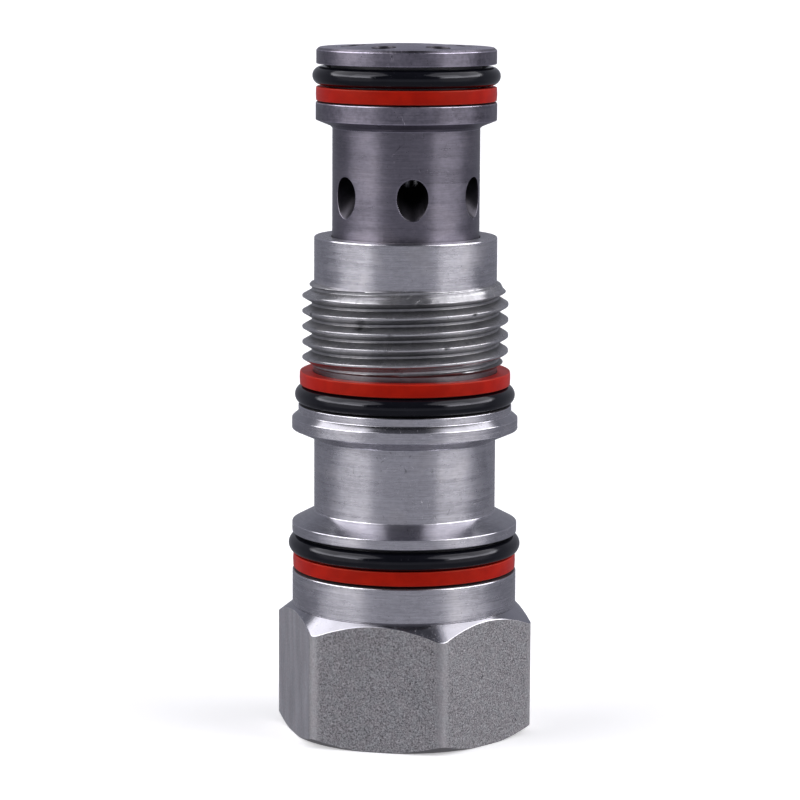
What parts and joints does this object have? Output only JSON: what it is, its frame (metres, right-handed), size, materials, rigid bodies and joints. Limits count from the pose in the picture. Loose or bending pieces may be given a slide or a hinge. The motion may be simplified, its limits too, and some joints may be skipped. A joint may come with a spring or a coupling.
{
  "type": "hydraulic cartridge valve",
  "caption": "Screw-in hydraulic cartridge check valve, opened by pilot pressure, with a hex drive, a threaded body, sealed lands and a floating nose sleeve with slanting side ports.",
  "frame": {"origin": "centre of the hex's flat end face, where the valve stands", "axes": "+Z along the cartridge axis toward the nose; the hex's flats face -Y and +Y, its corners face -X and +X"},
  "size_m": [0.0252, 0.0226, 0.0668],
  "materials": {
    "plated_steel": "bright plated, fine turning marks, matte grained hex flats",
    "sleeve_steel": "satin hardened steel, darker, turned",
    "bright_steel": "ground and hardened",
    "spring_steel": "drawn wire",
    "black_rubber": "glossy, lightly oiled",
    "red_backup": "satin red elastomer"
  },
  "bodies": {
    "valve_body": {"hex_body": "plated_steel", "mid_oring": "black_rubber", "mid_backup_ring": "red_backup", "upper_oring": "black_rubber", "upper_backup_ring": "red_backup", "pilot_guide": "bright_steel", "guide_snap_ring": "spring_steel", "sleeve_retaining_wire": "spring_steel", "pilot_return_spring": "spring_steel"},
    "nose": {"nose_sleeve": "sleeve_steel", "seat_ring": "bright_steel", "nose_retainer": "sleeve_steel", "nose_oring": "black_rubber", "nose_backup_ring": "red_backup", "check_spring": "spring_steel"},
    "pilot_piston": {"pilot_piston": "bright_steel", "pilot_pin": "bright_steel", "pilot_piston_oring": "black_rubber", "pilot_backup_front": "red_backup", "pilot_backup_rear": "red_backup"},
    "check_poppet": {"check_poppet": "bright_steel"}
  },
  "joints": [
    {"name": "nose_swivel", "type": "hinge", "parent": "valve_body", "child": "nose", "pos_m": [0, 0, 0.045], "axis": [0, 0, 1], "continuous": true},
    {"name": "pilot_stroke", "type": "slide", "parent": "valve_body", "child": "pilot_piston", "axis": [0, 0, 1], "range_m": [0, 0.001], "deforming": ["pilot_return_spring", "check_spring"]},
    {"name": "check_lift", "type": "slide", "parent": "pilot_piston", "child": "check_poppet", "axis": [0, 0, 1], "range_m": [0, 0.001], "deforming": ["check_spring"]}
  ]
}
